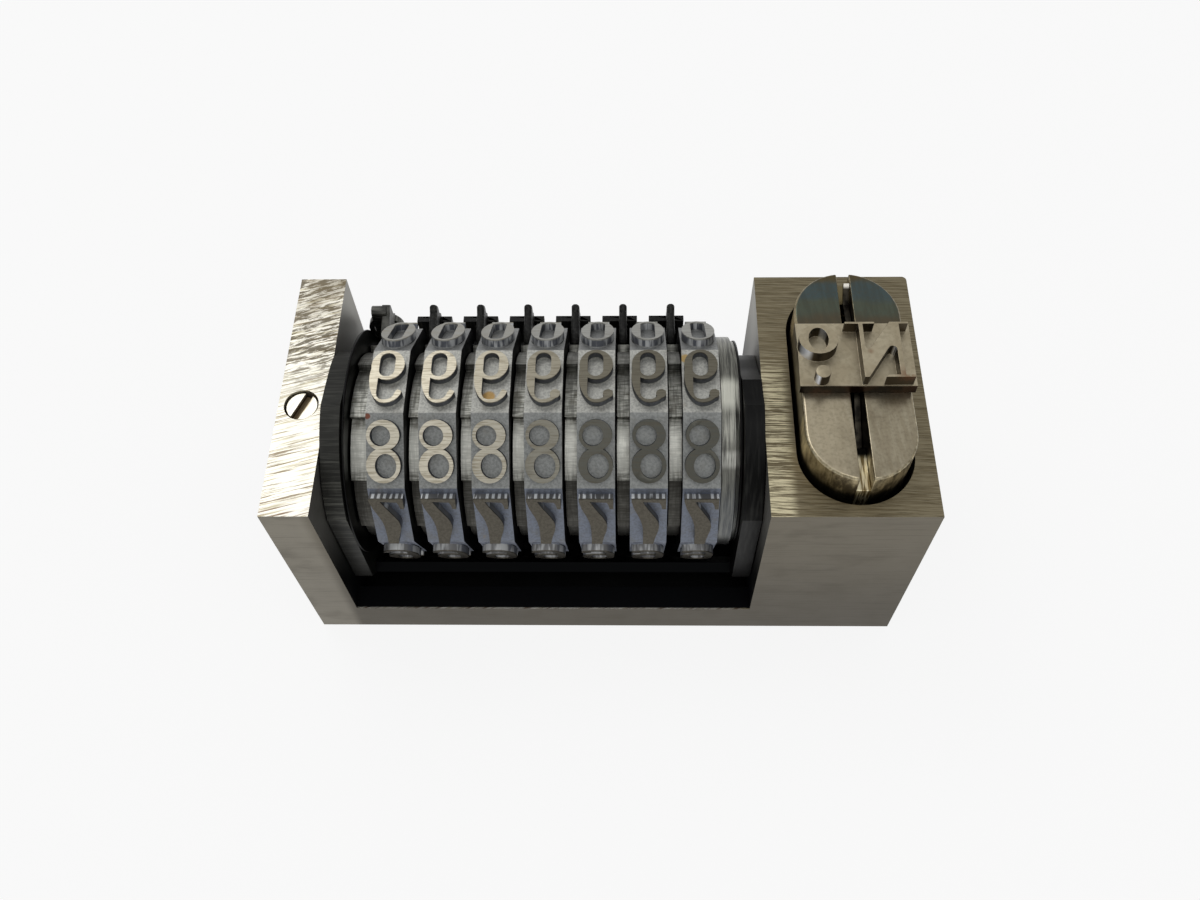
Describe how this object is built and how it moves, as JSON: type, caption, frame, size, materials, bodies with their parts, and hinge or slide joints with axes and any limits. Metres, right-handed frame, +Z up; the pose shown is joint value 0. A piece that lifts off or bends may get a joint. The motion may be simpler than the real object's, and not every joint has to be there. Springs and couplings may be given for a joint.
{
  "type": "numbering machine",
  "caption": "Seven-wheel letterpress numbering machine: steel case, figure wheels with ratchets, swing and pawls, plunger with a mirrored No. sign",
  "frame": {"origin": "middle of the case's base, on the surface that the case stands on", "axes": "+Z up through the printing face, X along the case and the wheel shaft with the plunger block at +X, +Y towards the retaining pawls at the back"},
  "size_m": [0.0508, 0.0226, 0.0262],
  "materials": {
    "case_steel": "ground nickelled steel, worn, fine brushing and file marks",
    "bright_steel": "turned and ground bright steel",
    "wheel_steel": "engraved steel, grey ground with worn faces",
    "plunger_steel": "polished brown-grey steel with bright worn edges",
    "blackened_steel": "blackened steel, oily satin",
    "spring_steel": "drawn spring wire"
  },
  "bodies": {
    "case": {"frame": "case_steel", "bottom_plate": "case_steel", "bottom_plate_screws": "bright_steel", "wheel_shaft": "bright_steel", "shaft_lock_screw": "case_steel", "end_disc": "blackened_steel", "end_collar": "bright_steel", "thrust_ring": "blackened_steel", "retaining_pawl_rod": "bright_steel", "retaining_pawl_springs": "spring_steel"},
    "plunger": {"plunger": "plunger_steel", "drive_stud": "bright_steel", "sign_plate": "plunger_steel", "sign_plate_spring": "spring_steel", "front_plunger_spring": "spring_steel", "rear_plunger_spring": "spring_steel"},
    "swing": {"left_swing_arm": "blackened_steel", "right_swing_arm": "blackened_steel", "swing_tie_bar": "blackened_steel", "drive_pawl_rod": "bright_steel", "drive_pawl_spring": "spring_steel"},
    "drive_pawl": {"drive_pawl": "blackened_steel"},
    "wheel_1": {"figure_wheel_1": "wheel_steel", "ratchet_1": "bright_steel"},
    "wheel_2": {"figure_wheel_2": "wheel_steel", "ratchet_2": "bright_steel"},
    "wheel_3": {"figure_wheel_3": "wheel_steel", "ratchet_3": "bright_steel"},
    "wheel_4": {"figure_wheel_4": "wheel_steel", "ratchet_4": "bright_steel"},
    "wheel_5": {"figure_wheel_5": "wheel_steel", "ratchet_5": "bright_steel"},
    "wheel_6": {"figure_wheel_6": "wheel_steel", "ratchet_6": "bright_steel"},
    "wheel_7": {"figure_wheel_7": "wheel_steel", "ratchet_7": "bright_steel"},
    "pawl_1": {"retaining_pawl_1": "blackened_steel"},
    "pawl_2": {"retaining_pawl_2": "blackened_steel"},
    "pawl_3": {"retaining_pawl_3": "blackened_steel"},
    "pawl_4": {"retaining_pawl_4": "blackened_steel"},
    "pawl_5": {"retaining_pawl_5": "blackened_steel"},
    "pawl_6": {"retaining_pawl_6": "blackened_steel"},
    "pawl_7": {"retaining_pawl_7": "blackened_steel"}
  },
  "joints": [
    {"name": "plunger_slide", "type": "slide", "parent": "case", "child": "plunger", "axis": [0, 0, -1], "range_m": [0, 0.0028], "stiffness_N_per_m": 1500, "springref_m": -0.002, "deforming": ["front_plunger_spring", "rear_plunger_spring"]},
    {"name": "swing_turn", "type": "hinge", "parent": "case", "child": "swing", "pos_m": [0, 0, 0.01356], "axis": [1, 0, 0], "range_deg": [0, 39.03]},
    {"name": "drive_pawl_lift", "type": "hinge", "parent": "swing", "child": "drive_pawl", "pos_m": [0, 0.00138, 0.00232], "axis": [1, 0, 0], "range_deg": [0, 6], "stiffness_Nm_per_rad": 0.0004, "springref_deg": -28.65},
    {"name": "wheel_1_turn", "type": "hinge", "parent": "case", "child": "wheel_1", "pos_m": [-0.01659, 0, 0.01356], "axis": [-1, 0, 0], "continuous": true},
    {"name": "wheel_2_turn", "type": "hinge", "parent": "case", "child": "wheel_2", "pos_m": [-0.01251, 0, 0.01356], "axis": [-1, 0, 0], "continuous": true},
    {"name": "wheel_3_turn", "type": "hinge", "parent": "case", "child": "wheel_3", "pos_m": [-0.00843, 0, 0.01356], "axis": [-1, 0, 0], "continuous": true},
    {"name": "wheel_4_turn", "type": "hinge", "parent": "case", "child": "wheel_4", "pos_m": [-0.00435, 0, 0.01356], "axis": [-1, 0, 0], "continuous": true},
    {"name": "wheel_5_turn", "type": "hinge", "parent": "case", "child": "wheel_5", "pos_m": [-0.00027, 0, 0.01356], "axis": [-1, 0, 0], "continuous": true},
    {"name": "wheel_6_turn", "type": "hinge", "parent": "case", "child": "wheel_6", "pos_m": [0.00381, 0, 0.01356], "axis": [-1, 0, 0], "continuous": true},
    {"name": "wheel_7_turn", "type": "hinge", "parent": "case", "child": "wheel_7", "pos_m": [0.00789, 0, 0.01356], "axis": [-1, 0, 0], "continuous": true},
    {"name": "pawl_1_lift", "type": "hinge", "parent": "case", "child": "pawl_1", "pos_m": [-0.01862, 0.00991, 0.00295], "axis": [-1, 0, 0], "range_deg": [0, 4.5], "stiffness_Nm_per_rad": 0.001, "springref_deg": -20.05},
    {"name": "pawl_2_lift", "type": "hinge", "parent": "case", "child": "pawl_2", "pos_m": [-0.01455, 0.00991, 0.00295], "axis": [-1, 0, 0], "range_deg": [0, 4.5], "stiffness_Nm_per_rad": 0.001, "springref_deg": -20.05},
    {"name": "pawl_3_lift", "type": "hinge", "parent": "case", "child": "pawl_3", "pos_m": [-0.01047, 0.00991, 0.00295], "axis": [-1, 0, 0], "range_deg": [0, 4.5], "stiffness_Nm_per_rad": 0.001, "springref_deg": -20.05},
    {"name": "pawl_4_lift", "type": "hinge", "parent": "case", "child": "pawl_4", "pos_m": [-0.00639, 0.00991, 0.00295], "axis": [-1, 0, 0], "range_deg": [0, 4.5], "stiffness_Nm_per_rad": 0.001, "springref_deg": -20.05},
    {"name": "pawl_5_lift", "type": "hinge", "parent": "case", "child": "pawl_5", "pos_m": [-0.00231, 0.00991, 0.00295], "axis": [-1, 0, 0], "range_deg": [0, 4.5], "stiffness_Nm_per_rad": 0.001, "springref_deg": -20.05},
    {"name": "pawl_6_lift", "type": "hinge", "parent": "case", "child": "pawl_6", "pos_m": [0.00177, 0.00991, 0.00295], "axis": [-1, 0, 0], "range_deg": [0, 4.5], "stiffness_Nm_per_rad": 0.001, "springref_deg": -20.05},
    {"name": "pawl_7_lift", "type": "hinge", "parent": "case", "child": "pawl_7", "pos_m": [0.00585, 0.00991, 0.00295], "axis": [-1, 0, 0], "range_deg": [0, 4.5], "stiffness_Nm_per_rad": 0.001, "springref_deg": -20.05}
  ],
  "couplings": [
    {"joint": "swing_turn", "follows": "plunger_slide", "rad_per_m": 243.3}
  ]
}
